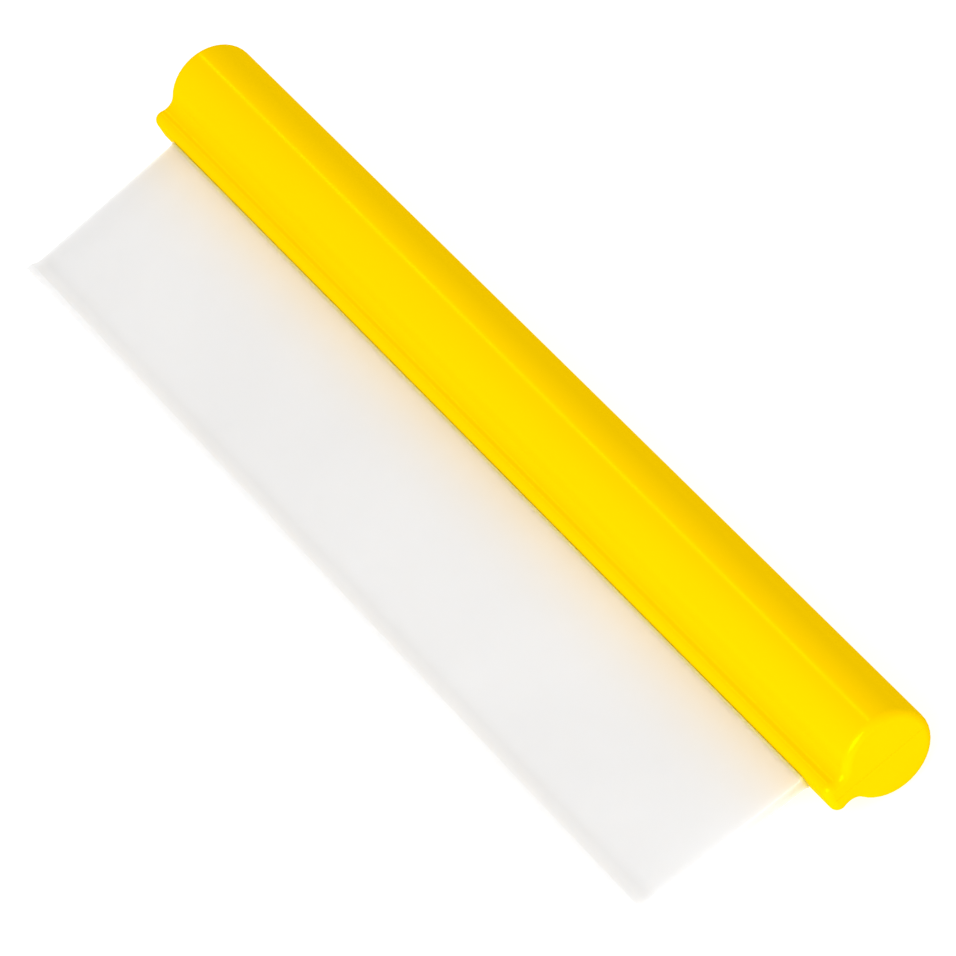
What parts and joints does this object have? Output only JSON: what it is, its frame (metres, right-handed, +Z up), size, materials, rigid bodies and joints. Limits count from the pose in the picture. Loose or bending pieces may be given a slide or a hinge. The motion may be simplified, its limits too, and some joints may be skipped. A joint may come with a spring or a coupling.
{
  "type": "squeegee",
  "caption": "Hand squeegee with a round-backed clamshell handle that clamps a long flexible silicone blade ending in a grooved wiping bar.",
  "frame": {"origin": "Centre of the footprint, on the table that the squeegee lies on: midway along the handle, and midway between the wiping edge and the back of the barrel.", "axes": "+X runs along the handle, +Y from the wiping edge towards the barrel, +Z up from the table. The blade's plane leans back about 8.0 degrees, because the barrel is thicker than the wiping bar."},
  "size_m": [0.314, 0.0762, 0.023],
  "materials": {
    "handle_plastic": "semi-gloss moulded, warm yellow",
    "blade_silicone": "satin translucent milky white silicone",
    "pin_plastic": "plain natural nylon"
  },
  "bodies": {
    "handle": {"front_shell": "handle_plastic", "rear_shell": "handle_plastic", "root_pin_1": "pin_plastic", "root_pin_2": "pin_plastic", "root_pin_3": "pin_plastic", "root_pin_4": "pin_plastic", "root_pin_5": "pin_plastic", "root_pin_6": "pin_plastic", "root_pin_7": "pin_plastic"},
    "blade": {"silicone_blade": "blade_silicone"}
  },
  "joints": [
    {"name": "blade_flex", "type": "hinge", "parent": "handle", "child": "blade", "pos_m": [0, 0.00381, 0.00829], "axis": [1, 0, 0], "range_deg": [-30, 30], "stiffness_Nm_per_rad": 0.16, "deforming": ["silicone_blade"]}
  ]
}
